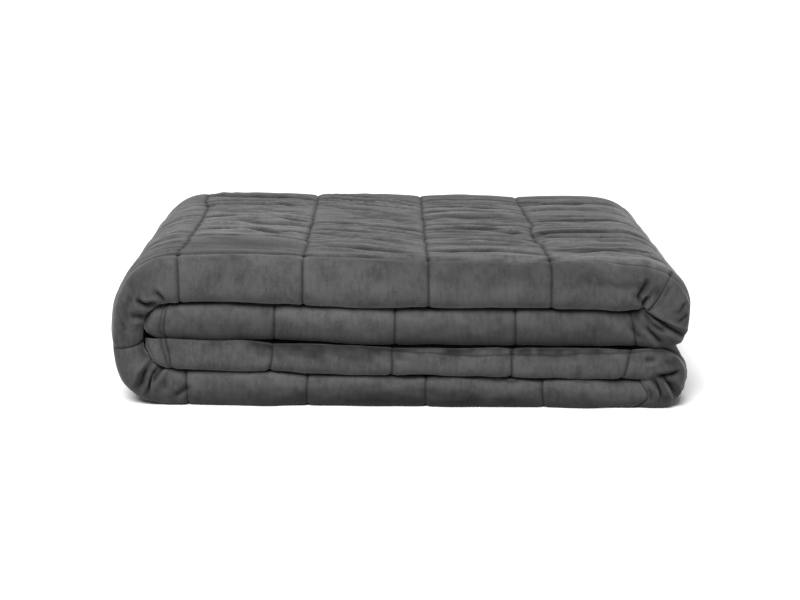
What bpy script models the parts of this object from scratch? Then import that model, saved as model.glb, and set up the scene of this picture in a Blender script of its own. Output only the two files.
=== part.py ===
# A weighted blanket: one quilted sheet with a 15 by 20 grid of square pockets, folded in
# half twice across its width and then gate-folded along its length into a four-layer stack.
# Metres, +Z up. The origin is the middle of the underside; the rounded folds face -Y.

from collections import namedtuple

import bmesh
import bpy
import numpy as np

# ---- driving dimensions ---------------------------------------------------------------
PITCH_LONG = 0.0995       # seam to seam along the length, as the quilting leaves it
PITCH_WIDE = 0.1005       # seam to seam across the width
POCKETS_WIDE = 15
FIRST_SEAM = 0.1075       # the first seam from the starting end; the others follow at the pitch
HEM = 0.0165              # stitched hem at both ends of the length

PLY_GAP = 0.0011          # air between two plies of the same layer
NOSE_LENGTH = 0.0464      # cloth that goes round the front of the outer fold
SMALL_FOLD_LENGTH = 0.015 # cloth that goes round a fold between neighbouring plies
BACK_DROP = 0.018         # share of its height that the stack loses from front to back
PUFF_TOP = 0.0045         # how far a pocket's middle stands above its seams
PUFF_FRONT = 0.0060
PUFF_BACK = 0.004
HEM_THINNING = 0.45       # share of a ply's thickness that the hem takes away
NEST_LENGTH = 0.03        # stretch at each end that is shaped to lie in the left bend
NEST_ROUND = 0.006        # how far the corners of that stretch are rounded back
EDGE_REACH = 0.0060       # the two free edges at the back end this far past the runs' ends
OTHER_EDGE_REACH = 0.0085
END_CLEARANCE = 0.0018    # between the two ends and the left bend that wraps them

# The four level runs of the folded strip, in the order in which the strip passes them.
# outer is the face that lies outside in the bends, inner the other; heights at x = -0.2
# and x = +0.2, where the bottom run's outer one is half a PLY_GAP and a little under the
# floor, so that the cloth is flat on it. setback moves the front fold back, nose is how far
# it stands forward.
# square is how boxy the front fold is in section, from 2 for a plain round one.
Run = namedtuple("Run", "name outer_left outer_right inner_left inner_right setback nose square")
RUNS = [
    Run("upper tuck", 0.0568, 0.0523, 0.0830, 0.0800, 0.0040, 0.0140, 2.3),
    Run("top", 0.1230, 0.1218, 0.0848, 0.0815, 0.0000, 0.0150, 4.2),
    Run("bottom", -0.0006, -0.0006, 0.0302, 0.0232, 0.0010, 0.0135, 2.5),
    Run("lower tuck", 0.0550, 0.0511, 0.0318, 0.0246, 0.0000, 0.0135, 2.5),
]

# The three bends between the runs. reach is the outermost x, middle the height there,
# join_low and join_high where the bend meets the lower and the upper run.
Bend = namedtuple("Bend", "name reach middle join_low join_high power")
OUTER_BENDS = [
    Bend("upper right", 0.2375, 0.0770, 0.2160, 0.1840, 2.4),
    Bend("left", -0.2378, 0.0560, -0.1820, -0.1820, 2.35),
    Bend("lower right", 0.2375, 0.0270, 0.2090, 0.2040, 2.25),
]
INNER_BENDS = [
    Bend("upper right", 0.2000, 0.0808, 0.1970, 0.1970, 2.0),
    Bend("left", -0.2130, 0.0570, -0.1850, -0.1850, 2.5),
    Bend("lower right", 0.1990, 0.0239, 0.1960, 0.1960, 2.0),
]
END_X = -0.2110           # both ends of the strip lie here, inside the left bend

# How far the cloth has crept along the strip's path where each run and bend starts, and at
# the strip's end: its seams lie that much further on than an even pitch would put them.
CREEP = [0.0, -0.001, 0.0, 0.0075, 0.006, 0.0, -0.003, -0.005]

# How much of PUFF_TOP the pockets show along the strip, offset metres after the given mark:
# fully where its outer face is free, not where it is pressed on the floor or a neighbour.
# The marks are the starts of the runs and bends in turn, and the strip's end.
Show = namedtuple("Show", "mark offset share")
SHOWS = [
    Show(0, 0.00, 0.0), Show(1, 0.02, 0.0), Show(1, 0.05, 1.0), Show(4, 0.00, 1.0),
    Show(4, 0.03, 0.0), Show(5, 0.00, 0.0), Show(5, 0.02, 0.9), Show(6, -0.04, 0.9),
    Show(6, -0.01, 0.0), Show(7, 0.00, 0.0),
]

# Main creases that run out from the inside of the bends: place is the share of the bend.
CREASE_WIDTH = 0.006
Crease = namedtuple("Crease", "bend place depth")
CREASES = [
    Crease(0, 0.25, 0.006),
    Crease(1, 0.25, 0.0025),
    Crease(1, 0.833, 0.004),
    Crease(2, 0.125, 0.003),
    Crease(2, 0.5, 0.005),
]

# ---- how finely the sheet is divided ----------------------------------------------------
PATH_SAMPLES = 60         # points to a run or a bend when the strip's path is measured
LINES_PER_POCKET = 3
BEND_LINES = [8, 12, 8]
BEND_MARGIN = 0.008       # no other line comes closer to a bend than this
NOSE_LINES = 7
EDGE_LINES = 2            # between the last seam on top and the back
SMALL_FOLD_LINES = 4
LOWEST_PLY_LINES = 3
INSIDE_LINES = 2          # divisions of a ply that lies inside the stack

PILLOW_POWER = 0.55       # low for pockets that rise steeply beside their seams
SLIP_SHARE = 0.3          # part of a run over which its faces slip, next to a bend
NOSE_UNDER_POWER = 2.4    # roundness of the front fold's half that lies on the inner face
PLY = 0.25                # a ply and its air, as a share of the strip's thickness

PLUSH_GREY = (0.075, 0.076, 0.080, 1.0)


def smooth_step(t):
    t = np.clip(t, 0.0, 1.0)
    return t * t * (3.0 - 2.0 * t)


def run_height(left, right, x):
    return left + (right - left) * (x + 0.2) / 0.4


def quarter(centre, semi, power, start, end, steps):
    # Points on a quarter of a rounded oval, from angle start to end in degrees.
    angle = np.radians(np.linspace(start, end, steps))
    c, s = np.cos(angle), np.sin(angle)
    x = centre[0] + semi[0] * np.sign(c) * np.abs(c) ** (2.0 / power)
    z = centre[1] + semi[1] * np.sign(s) * np.abs(s) ** (2.0 / power)
    return np.column_stack([x, z])


def bend_points(bend, z_low, z_high, upwards):
    side = np.sign(bend.reach)
    low = (abs(bend.reach - bend.join_low), bend.middle - z_low)
    high = (abs(bend.reach - bend.join_high), z_high - bend.middle)
    start_low, middle, end_high = (-90, 0, 90) if side > 0 else (-90, -180, -270)
    below = quarter((bend.join_low, bend.middle), low, bend.power, start_low, middle, PATH_SAMPLES)
    above = quarter((bend.join_high, bend.middle), high, bend.power, middle, end_high, PATH_SAMPLES)
    points = np.vstack([below, above[1:]])
    return points if upwards else points[::-1]


def run_points(run, outer_x, inner_x):
    # outer_x and inner_x are (start, end); the slip between the faces stays near the bends.
    t = np.linspace(0.0, 1.0, PATH_SAMPLES)
    xo = outer_x[0] + (outer_x[1] - outer_x[0]) * t
    slip_start = (inner_x[0] - outer_x[0]) * (1.0 - smooth_step(t / SLIP_SHARE))
    slip_end = (inner_x[1] - outer_x[1]) * (1.0 - smooth_step((1.0 - t) / SLIP_SHARE))
    xi = xo + slip_start + slip_end
    outer = np.column_stack([xo, run_height(run.outer_left, run.outer_right, xo)])
    inner = np.column_stack([xi, run_height(run.inner_left, run.inner_right, xi)])
    return outer, inner


def strip_path():
    # The two faces of the folded strip as it passes through the stack, as matching points,
    # with the length along the outer face and where each run and bend begins.
    upper, top, bottom, lower = RUNS
    right_up, left, right_low = range(3)
    ob, ib = OUTER_BENDS, INNER_BENDS

    def bend(index, low_run, high_run, upwards):
        o, i = ob[index], ib[index]
        outer = bend_points(o, run_height(low_run.outer_left, low_run.outer_right, o.join_low),
                            run_height(high_run.outer_left, high_run.outer_right, o.join_high),
                            upwards)
        inner = bend_points(i, run_height(low_run.inner_left, low_run.inner_right, i.join_low),
                            run_height(high_run.inner_left, high_run.inner_right, i.join_high),
                            upwards)
        return outer, inner

    pieces = [
        run_points(upper, (END_X, ob[right_up].join_low), (END_X, ib[right_up].join_low)),
        bend(right_up, upper, top, True),
        run_points(top, (ob[right_up].join_high, ob[left].join_high),
                   (ib[right_up].join_high, ib[left].join_high)),
        bend(left, bottom, top, False),
        run_points(bottom, (ob[left].join_low, ob[right_low].join_low),
                   (ib[left].join_low, ib[right_low].join_low)),
        bend(right_low, bottom, lower, True),
        run_points(lower, (ob[right_low].join_high, END_X), (ib[right_low].join_high, END_X)),
    ]
    outer, inner, starts = pieces[0][0], pieces[0][1], [0]
    for piece_outer, piece_inner in pieces[1:]:
        starts.append(len(outer) - 1)
        outer = np.vstack([outer, piece_outer[1:]])
        inner = np.vstack([inner, piece_inner[1:]])
    step = np.hypot(*np.diff(outer, axis=0).T)
    length = np.concatenate([[0.0], np.cumsum(step)])
    marks = [length[i] for i in starts] + [length[-1]]
    return outer, inner, length, marks


OUTER, INNER, LENGTH, MARKS = strip_path()
TOTAL = MARKS[-1]
EVEN_SEAMS = np.arange(FIRST_SEAM, TOTAL - PITCH_LONG / 2, PITCH_LONG)
SEAMS_LONG = np.concatenate([[HEM], EVEN_SEAMS + np.interp(EVEN_SEAMS, MARKS, CREEP),
                             [TOTAL - HEM]])

# Where the folds lie across the width, measured along the cloth.
WIDTH = PITCH_WIDE * POCKETS_WIDE
NOSE_END = 4 * PITCH_WIDE
NOSE_START = NOSE_END - NOSE_LENGTH
RUN_LENGTH = (WIDTH - NOSE_LENGTH - 2 * SMALL_FOLD_LENGTH) / 4
BACK_START = NOSE_END + RUN_LENGTH
BACK_END = BACK_START + SMALL_FOLD_LENGTH
INNER_START = BACK_END + RUN_LENGTH
INNER_END = INNER_START + SMALL_FOLD_LENGTH
SEAMS_WIDE = PITCH_WIDE * np.arange(POCKETS_WIDE + 1)


def pillow(place, seams):
    # 0 at a seam and about 1 over most of the pocket between two seams.
    part = np.interp(place, seams, np.arange(len(seams))) % 1.0
    return np.sin(np.pi * part) ** PILLOW_POWER


def blend_runs(u, name):
    # A run's value along the strip, carried smoothly round the bends.
    at, value = [], []
    for index, run in enumerate(RUNS):
        start, end = MARKS[2 * index], MARKS[2 * index + 1]
        at += [start, end]
        value += [getattr(run, name)] * 2
    return np.interp(u, at, value)


def inside_left(z):
    # x of the left bend's inner face at height z.
    bend = INNER_BENDS[1]
    if z > bend.middle:
        rise = (z - bend.middle) / (run_height(RUNS[1].inner_left, RUNS[1].inner_right,
                                               bend.join_high) - bend.middle)
    else:
        rise = (bend.middle - z) / (bend.middle - run_height(RUNS[2].inner_left,
                                                             RUNS[2].inner_right, bend.join_low))
    share = max(0.0, 1.0 - min(rise, 1.0) ** bend.power) ** (1.0 / bend.power)
    return bend.join_low + (bend.reach - bend.join_low) * share


def puff_share(u):
    return np.interp(u, [MARKS[show.mark] + show.offset for show in SHOWS],
                     [show.share for show in SHOWS])


def crease_depth(u):
    depth = 0.0
    for crease in CREASES:
        start, end = MARKS[2 * crease.bend + 1], MARKS[2 * crease.bend + 2]
        centre = start + crease.place * (end - start)
        depth += crease.depth * np.exp(-((u - centre) / CREASE_WIDTH) ** 2)
    return depth


def fold_point(u, v, face):
    # Where the flat sheet's point (u along, v across) ends up. face is +1 on the side that
    # shows and -1 on the other. front and back are the y of the plies' ends, clear is the
    # reach of the front fold's inside and tuck the middle of the small fold within it.
    outer = np.array([np.interp(u, LENGTH, OUTER[:, k]) for k in range(2)])
    inner = np.array([np.interp(u, LENGTH, INNER[:, k]) for k in range(2)])
    thickness = np.hypot(*(outer - inner))
    from_end = min(u, TOTAL - u)
    hem = 1.0 - smooth_step((from_end - 0.5 * HEM) / HEM)
    quilted = pillow(u, SEAMS_LONG) * pillow(v, SEAMS_WIDE)
    # w is the share of the way from the strip's inner face to its outer one.
    half = 0.5 * (PLY - PLY_GAP / thickness) * (1.0 - HEM_THINNING * hem)
    front = blend_runs(u, "setback")
    back = RUN_LENGTH
    clear = blend_runs(u, "nose") - (0.5 * PLY + half) * thickness - crease_depth(u)
    tuck = front - clear + (0.5 * PLY + half) * thickness + PLY_GAP

    if v < NOSE_START:                                   # ply that lies on the inner face
        t = v / NOSE_START
        y = back + EDGE_REACH + (front - back - EDGE_REACH) * t
        w = 0.5 * PLY - face * half
    elif v < NOSE_END:                                   # round the front
        angle = np.pi * (v - NOSE_START) / NOSE_LENGTH - np.pi / 2
        spread = 1.5 * PLY + face * half
        reach = clear
        if face > 0:
            reach += 2.0 * half * thickness + PUFF_FRONT * quilted
        power = 2.0 / (blend_runs(u, "square") if angle > 0 else NOSE_UNDER_POWER)
        w = 0.5 + spread * np.sign(np.sin(angle)) * abs(np.sin(angle)) ** power
        y = front - reach * abs(np.cos(angle)) ** power
    elif v <= BACK_START:                                # ply on the outer face, the one on top
        t = (v - NOSE_END) / RUN_LENGTH
        y = front + (back - front) * t
        w = 3.5 * PLY + face * half
        if face > 0:
            w += PUFF_TOP * quilted * puff_share(u) / thickness
    elif v < BACK_END:                                   # small fold at the back
        angle = np.pi / 2 - np.pi * (v - BACK_START) / SMALL_FOLD_LENGTH
        radius = 0.5 * PLY + face * half
        w = 3.0 * PLY + radius * np.sin(angle)
        puff = PUFF_BACK * quilted if face > 0 else 0.0
        y = back + (radius * thickness + puff) * np.cos(angle)
    elif v <= INNER_START:                               # back towards the front
        t = (v - BACK_END) / RUN_LENGTH
        y = back + (tuck - back) * t
        w = 2.5 * PLY - face * half
    elif v < INNER_END:                                  # small fold inside the front one
        angle = np.pi / 2 - np.pi * (v - INNER_START) / SMALL_FOLD_LENGTH
        radius = 0.5 * PLY - face * half
        w = 2.0 * PLY + radius * np.sin(angle)
        y = tuck - radius * thickness * np.cos(angle)
    else:                                                # last ply, to the free edge
        t = (v - INNER_END) / (WIDTH - INNER_END)
        y = tuck + (back + OTHER_EDGE_REACH - tuck) * t
        w = 1.5 * PLY + face * half

    x, z = inner + (outer - inner) * w
    nested = inside_left(z) + END_CLEARANCE + NEST_ROUND * abs(2.0 * w - 1.0) ** 6
    x += max(0.0, nested - END_X) * (1.0 - smooth_step(from_end / NEST_LENGTH))
    z *= 1.0 - BACK_DROP * np.clip(y / RUN_LENGTH, 0.0, 1.0)
    return x, y, max(0.0, z)


def division_lines(marks, counts):
    lines = []
    for start, end, count in zip(marks[:-1], marks[1:], counts):
        lines.extend(np.linspace(start, end, count, endpoint=False))
    return np.array(lines + [marks[-1]])


def lines_along():
    # Cuts along the length: at each seam and between seams, closer together in the bends.
    in_bends = []
    for bend, count in enumerate(BEND_LINES):
        in_bends.append(np.linspace(MARKS[2 * bend + 1], MARKS[2 * bend + 2], count + 1))
    even = division_lines(SEAMS_LONG, [LINES_PER_POCKET] * (len(SEAMS_LONG) - 1))
    kept = [u for u in even
            if all(u < cuts[0] - BEND_MARGIN or u > cuts[-1] + BEND_MARGIN for cuts in in_bends)]
    return np.sort(np.concatenate([[0.0, TOTAL], kept] + in_bends))


def lines_across():
    # Cuts across the width: fine where the outer ply shows, coarse inside the stack.
    last_seam = NOSE_END + 3 * PITCH_WIDE
    marks = [0.0, NOSE_START, NOSE_END, last_seam, BACK_START, BACK_END, INNER_START, INNER_END,
             WIDTH]
    counts = [LOWEST_PLY_LINES, NOSE_LINES, 3 * LINES_PER_POCKET, EDGE_LINES, SMALL_FOLD_LINES,
              INSIDE_LINES, SMALL_FOLD_LINES, INSIDE_LINES]
    return division_lines(marks, counts)


def make_material():
    material = bpy.data.materials.new("plush grey")
    material.use_nodes = True
    shader = material.node_tree.nodes["Principled BSDF"]
    shader.inputs["Base Color"].default_value = PLUSH_GREY
    shader.inputs["Roughness"].default_value = 0.95
    shader.inputs["Metallic"].default_value = 0.0
    return material


def make_blanket(collection):
    # A flat slab of unit squares, one for each cut of the sheet, then folded point by point.
    along, across = lines_along(), lines_across()
    mesh = bpy.data.meshes.new("blanket")
    bm = bmesh.new()
    columns, rows = len(along) - 1, len(across) - 1
    bmesh.ops.create_grid(bm, x_segments=columns, y_segments=rows, size=0.5)
    bmesh.ops.solidify(bm, geom=bm.faces[:], thickness=1.0)
    heights = sorted({round(vert.co.z) for vert in bm.verts})
    for vert in bm.verts:
        u = along[round((vert.co.x + 0.5) * columns)]
        v = across[round((vert.co.y + 0.5) * rows)]
        face = 1 if round(vert.co.z) == heights[-1] else -1
        vert.co = fold_point(u, v, face)
    points = np.array([vert.co for vert in bm.verts])
    middle = (points.min(axis=0) + points.max(axis=0)) / 2
    bmesh.ops.translate(bm, vec=(-middle[0], -middle[1], 0.0), verts=bm.verts)
    bmesh.ops.recalc_face_normals(bm, faces=bm.faces)
    bm.to_mesh(mesh)
    bm.free()
    mesh.shade_smooth()
    mesh.materials.append(make_material())
    blanket = bpy.data.objects.new("blanket", mesh)
    collection.objects.link(blanket)
    return blanket


def main():
    for old in list(bpy.data.objects):
        bpy.data.objects.remove(old)
    collection = bpy.data.collections.new("weighted_blanket")
    bpy.context.scene.collection.children.link(collection)
    make_blanket(collection)


main()
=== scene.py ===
# Weighted blanket in dark grey plush, quilted in square pockets and folded into a low stack.
# Metres, +Z up, in the frame of the imported part. along runs down the cloth's two metres,
# across over its width, and side is +1 on the face that shows. What the lists place on the
# cloth is in mm: along, across, and so on.
import math

import bmesh
import bpy
import numpy as np
from mathutils import Matrix, Vector


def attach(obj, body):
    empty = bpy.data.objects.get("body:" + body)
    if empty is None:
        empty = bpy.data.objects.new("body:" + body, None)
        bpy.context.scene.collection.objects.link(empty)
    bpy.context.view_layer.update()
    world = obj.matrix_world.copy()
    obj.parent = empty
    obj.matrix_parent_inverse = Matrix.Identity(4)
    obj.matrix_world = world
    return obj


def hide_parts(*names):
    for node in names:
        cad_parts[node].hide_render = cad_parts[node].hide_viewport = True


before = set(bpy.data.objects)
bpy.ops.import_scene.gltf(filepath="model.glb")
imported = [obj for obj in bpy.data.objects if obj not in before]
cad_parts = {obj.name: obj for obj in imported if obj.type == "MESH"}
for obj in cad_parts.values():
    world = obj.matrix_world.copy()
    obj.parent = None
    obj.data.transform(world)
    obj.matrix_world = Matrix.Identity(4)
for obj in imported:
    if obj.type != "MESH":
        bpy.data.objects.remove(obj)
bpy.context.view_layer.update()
print("frame loaded")
mm = 0.001

cameraView = {
    "place": (-0.013, -1.7849, 0.418),
    "turn": 0.41, "down": 11.585, "roll": 0.5,      # degrees, turned towards +X
    "lens": 89.5, "sensor": 36.0,                   # mm
    "clip": (0.05, 60.0),
}


def makeCamera(view):
    turn, down, roll = (math.radians(view[key]) for key in ("turn", "down", "roll"))
    ahead = Vector((math.sin(turn) * math.cos(down), math.cos(turn) * math.cos(down),
                    -math.sin(down)))
    right = Vector((math.cos(turn), -math.sin(turn), 0.0))
    up = right.cross(ahead)
    rightRolled = right * math.cos(roll) + up * math.sin(roll)
    upRolled = up * math.cos(roll) - right * math.sin(roll)
    data = bpy.data.cameras.new("camera")
    data.lens, data.sensor_width = view["lens"], view["sensor"]
    data.clip_start, data.clip_end = view["clip"]
    camera = bpy.data.objects.new("camera", data)
    axes = Matrix((rightRolled, upRolled, -ahead)).transposed().to_4x4()
    camera.matrix_world = Matrix.Translation(view["place"]) @ axes
    bpy.context.scene.collection.objects.link(camera)
    bpy.context.scene.camera = camera


floorLook = {"size": 60.0, "shade": 0.48, "roughness": 0.9, "gloss": 0.1}


def makeFloor(look):
    mesh = bpy.data.meshes.new("floor")
    half = look["size"] / 2
    mesh.from_pydata([(-half, -half, 0), (half, -half, 0), (half, half, 0), (-half, half, 0)],
                     [], [(0, 1, 2, 3)])
    material = bpy.data.materials.new("pale floor")
    material.use_nodes = True
    shader = material.node_tree.nodes["Principled BSDF"]
    shader.inputs["Base Color"].default_value = (look["shade"],) * 3 + (1.0,)
    shader.inputs["Roughness"].default_value = look["roughness"]
    shader.inputs["Specular IOR Level"].default_value = look["gloss"]
    mesh.materials.append(material)
    floor = bpy.data.objects.new("floor", mesh)
    bpy.context.scene.collection.objects.link(floor)


studio = {
    "around": 0.52,                     # even light of the pale room
    "lamp": 9.8, "softness": 32.0,      # strength of the one large lamp, and its size in degrees
    "height": 49.0, "turn": -14.0,      # degrees up from the front, and sideways
}


def makeLight(light):
    world = bpy.data.worlds.new("studio")
    bpy.context.scene.world = world
    world.use_nodes = True
    background = world.node_tree.nodes["Background"]
    background.inputs["Color"].default_value = (1, 1, 1, 1)
    background.inputs["Strength"].default_value = light["around"]
    data = bpy.data.lights.new("soft lamp", "SUN")
    data.energy = light["lamp"]
    data.angle = math.radians(light["softness"])
    lamp = bpy.data.objects.new("soft lamp", data)
    lamp.rotation_euler = (math.radians(90.0 - light["height"]), 0.0, math.radians(light["turn"]))
    bpy.context.scene.collection.objects.link(lamp)
    bpy.context.scene.view_settings.view_transform = "Standard"


# The folded sheet, in the solid's own sizes and on its path.
cloth = {
    "pitchAlong": 0.0995, "pitchAcross": 0.1005, "pocketsAcross": 15,
    "firstSeam": 0.1075, "hem": 0.0165, "hemThinning": 0.02,
    "creep": (0.0, -0.001, 0.0, 0.0075, 0.006, 0.0, -0.003, -0.005),    # of the seams, at the bends
    "ply": 0.25, "plyGap": 0.0011,      # a ply's share of the strip, and the air between two
    "noseLength": 0.0464, "noseUnder": 2.4,     # cloth in a front fold, how square it is below
    "smallFold": 0.015, "edgeReach": (0.0060, 0.0085),      # cloth in a back fold, the free edges
    "backDrop": 0.018,                  # how much flatter the stack is at the back
    "endX": -0.2110, "endClearance": 0.0008,    # where the ends lie, and their gap to the left bend
    "nestLength": 0.03, "nestRound": 0.003, "nestCorners": (0.017, 0.0014, 0.0025),
    "endRound": (0.006, 0.005),         # the very end's front corner: along, drawn in
    "heightsAt": 0.2, "pathSteps": 60, "shift": (-0.00079, -0.17627),
}
runs = [    # heights of the strip's two faces at x = -0.2 and +0.2, and the front fold
    {"name": "upperTuck", "outer": (0.0568, 0.0523), "inner": (0.0830, 0.0800),
     "setback": 0.0040, "nose": 0.0140, "square": 3.2},
    {"name": "top", "outer": (0.1230, 0.1218), "inner": (0.0848, 0.0815),
     "setback": 0.0, "nose": 0.0150, "square": 3.4},
    {"name": "bottom", "outer": (-0.0006, -0.0006), "inner": (0.0302, 0.0232),
     "setback": 0.0010, "nose": 0.0135, "square": 2.5},
    {"name": "lowerTuck", "outer": (0.0550, 0.0511), "inner": (0.0318, 0.0246),
     "setback": 0.0, "nose": 0.0135, "square": 3.2},
]
bends = [   # reach, height there, where it meets the lower and the upper run, roundness
    {"name": "upperRight", "outer": (0.2375, 0.0770, 0.2160, 0.1840, 2.4),
     "inner": (0.2000, 0.0808, 0.1970, 0.1970, 2.0)},
    {"name": "left", "outer": (-0.2378, 0.0560, -0.1820, -0.1820, 2.35),
     "inner": (-0.2130, 0.0570, -0.1850, -0.1850, 2.5)},
    {"name": "lowerRight", "outer": (0.2375, 0.0270, 0.2090, 0.2040, 2.25),
     "inner": (0.1990, 0.0239, 0.1960, 0.1960, 2.0)},
]
bendOrder = [(0, 0, 1, True), (1, 2, 1, False), (2, 2, 3, True)]    # bend, low run, high run, up


def smoothStep(t):
    t = np.clip(t, 0.0, 1.0)
    return t * t * (3.0 - 2.0 * t)


def heightAt(pair, x):
    return pair[0] + (pair[1] - pair[0]) * (x + cloth["heightsAt"]) / (2 * cloth["heightsAt"])


def ovalQuarter(centre, semi, power, start, end):
    angle = np.radians(np.linspace(start, end, cloth["pathSteps"]))
    c, s = np.cos(angle), np.sin(angle)
    return np.column_stack([centre[0] + semi[0] * np.sign(c) * np.abs(c) ** (2.0 / power),
                            centre[1] + semi[1] * np.sign(s) * np.abs(s) ** (2.0 / power)])


def bendPoints(bend, lowPair, highPair, upwards):
    reach, middle, joinLow, joinHigh, power = bend
    low = (abs(reach - joinLow), middle - heightAt(lowPair, joinLow))
    high = (abs(reach - joinHigh), heightAt(highPair, joinHigh) - middle)
    startLow, side, endHigh = (-90, 0, 90) if reach > 0 else (-90, -180, -270)
    below = ovalQuarter((joinLow, middle), low, power, startLow, side)
    above = ovalQuarter((joinHigh, middle), high, power, side, endHigh)
    points = np.vstack([below, above[1:]])
    return points if upwards else points[::-1]


def runPoints(run, outerX, innerX):
    t, eased = np.linspace(0.0, 1.0, cloth["pathSteps"]), 0.3
    xo = outerX[0] + (outerX[1] - outerX[0]) * t
    xi = (xo + (innerX[0] - outerX[0]) * (1.0 - smoothStep(t / eased))
          + (innerX[1] - outerX[1]) * (1.0 - smoothStep((1.0 - t) / eased)))
    return (np.column_stack([xo, heightAt(run["outer"], xo)]),
            np.column_stack([xi, heightAt(run["inner"], xi)]))


def stripPath():
    # The strip's two faces in section, with the length along the outer one and the marks
    # where its runs and bends start.
    ends = cloth["endX"]
    o, i = [b["outer"] for b in bends], [b["inner"] for b in bends]
    turned = [tuple(bendPoints(bends[b][face], runs[low][face], runs[high][face], up)
                    for face in ("outer", "inner")) for b, low, high, up in bendOrder]
    pieces = [
        runPoints(runs[0], (ends, o[0][2]), (ends, i[0][2])), turned[0],
        runPoints(runs[1], (o[0][3], o[1][3]), (i[0][3], i[1][3])), turned[1],
        runPoints(runs[2], (o[1][2], o[2][2]), (i[1][2], i[2][2])), turned[2],
        runPoints(runs[3], (o[2][3], ends), (i[2][3], ends)),
    ]
    outer, inner, starts = pieces[0][0], pieces[0][1], [0]
    for pieceOuter, pieceInner in pieces[1:]:
        starts.append(len(outer) - 1)
        outer, inner = np.vstack([outer, pieceOuter[1:]]), np.vstack([inner, pieceInner[1:]])
    length = np.concatenate([[0.0], np.cumsum(np.hypot(*np.diff(outer, axis=0).T))])
    return outer, inner, length, [length[n] for n in starts] + [length[-1]]


outerFace, innerFace, pathLength, marks = stripPath()
clothLength = marks[-1]
clothWidth = cloth["pitchAcross"] * cloth["pocketsAcross"]
evenSeams = np.arange(cloth["firstSeam"], clothLength - cloth["pitchAlong"] / 2,
                      cloth["pitchAlong"])
seamsAlong = np.concatenate([[cloth["hem"]],
                             evenSeams + np.interp(evenSeams, marks, cloth["creep"]),
                             [clothLength - cloth["hem"]]])
seamsAcross = cloth["pitchAcross"] * np.arange(cloth["pocketsAcross"] + 1)
runDepth = (clothWidth - cloth["noseLength"] - 2 * cloth["smallFold"]) / 4
noseEnd = 4 * cloth["pitchAcross"]      # the folds across the cloth, by where they start and end
noseStart = noseEnd - cloth["noseLength"]
backStart = noseEnd + runDepth
backEnd = backStart + cloth["smallFold"]
innerStart = backEnd + runDepth
innerEnd = innerStart + cloth["smallFold"]

# Main creases in the front fold: bend, share of the way round it, half width, depth.
mainCreases = [(0, 0.25, 0.006, 0.0006), (1, 0.833, 0.006, 0.0010)]


def patch(a, b, spot, power=2.0):
    # 1 in the middle of a soft oval spot, given in mm, and 0 well outside it.
    atA, atB, reachA, reachB = np.array(spot) * mm
    return np.exp(-np.abs((a - atA) / reachA) ** power - np.abs((b - atB) / reachB) ** power)


def blendRuns(along, name):
    at = [m for n in range(4) for m in (marks[2 * n], marks[2 * n + 1])]
    return np.interp(along, at, [run[name] for run in runs for _ in range(2)])


cornerPowers = np.linspace(2.0, 4.6, 14)
cornerSteps = 400


def turnTables():
    # Angle round a rounded corner for an even walk along it, for several degrees of squareness.
    turn = np.linspace(0.0, 0.5 * np.pi, 1500)
    tables = []
    for power in cornerPowers:
        x, y = np.cos(turn) ** (2.0 / power), np.sin(turn) ** (2.0 / power)
        walked = np.concatenate([[0.0], np.cumsum(np.hypot(np.diff(x), np.diff(y)))])
        even = np.linspace(0.0, 1.0, cornerSteps + 1)
        tables.append(np.interp(even, walked / walked[-1], turn))
    return np.array(tables)


cornerTurns = turnTables()


def frontTurn(along, across):
    # The angle round a front fold, and how square the fold is there.
    t = np.clip(2.0 * (across - noseStart) / cloth["noseLength"] - 1.0, -1.0, 1.0)
    square = np.where(t > 0, blendRuns(along, "square"), cloth["noseUnder"])
    row = np.clip((square - 2.0) / (cornerPowers[1] - 2.0), 0.0, len(cornerPowers) - 1.001)
    column = np.minimum(np.abs(t) * cornerSteps, cornerSteps - 0.001)
    r, c = row.astype(int), column.astype(int)
    low, high = (cornerTurns[at, c] + (cornerTurns[at, c + 1] - cornerTurns[at, c]) * (column - c)
                 for at in (r, r + 1))
    return np.sign(t) * (low + (high - low) * (row - r)), square


def mainCreaseDepth(along):
    depth = np.zeros_like(along)
    for bend, share, width, deep in mainCreases:
        start, end = marks[2 * bend + 1], marks[2 * bend + 2]
        depth += deep * np.exp(-((along - start - share * (end - start)) / width) ** 2)
    return depth


# Where the layers' edges sag or lift in front: x, z, reach both ways, rise.
settling = [
    (-35, 27, 90, 10, -1.8),
    (90, 25, 60, 10, -1.4),
    (5, 54, 80, 10, -1.9),
    (-133, 83, 45, 10, 1.9),
    (82, 83, 40, 10, 2.2),
    (165, 81.5, 36, 10, 1.6),
    (201, 80, 12, 7, 2.8),
]
settlingFade = 0.12     # and how far back that reaches


def insideLeft(z):
    # x of the left bend's inner face at height z
    reach, middle, join, _, power = bends[1]["inner"]
    above = (z - middle) / (heightAt(runs[1]["inner"], join) - middle)
    below = (middle - z) / (middle - heightAt(runs[2]["inner"], join))
    rise = np.clip(np.where(z > middle, above, below), 0.0, 1.0)
    return join + (reach - join) * (1.0 - rise ** power) ** (1.0 / power)


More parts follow.
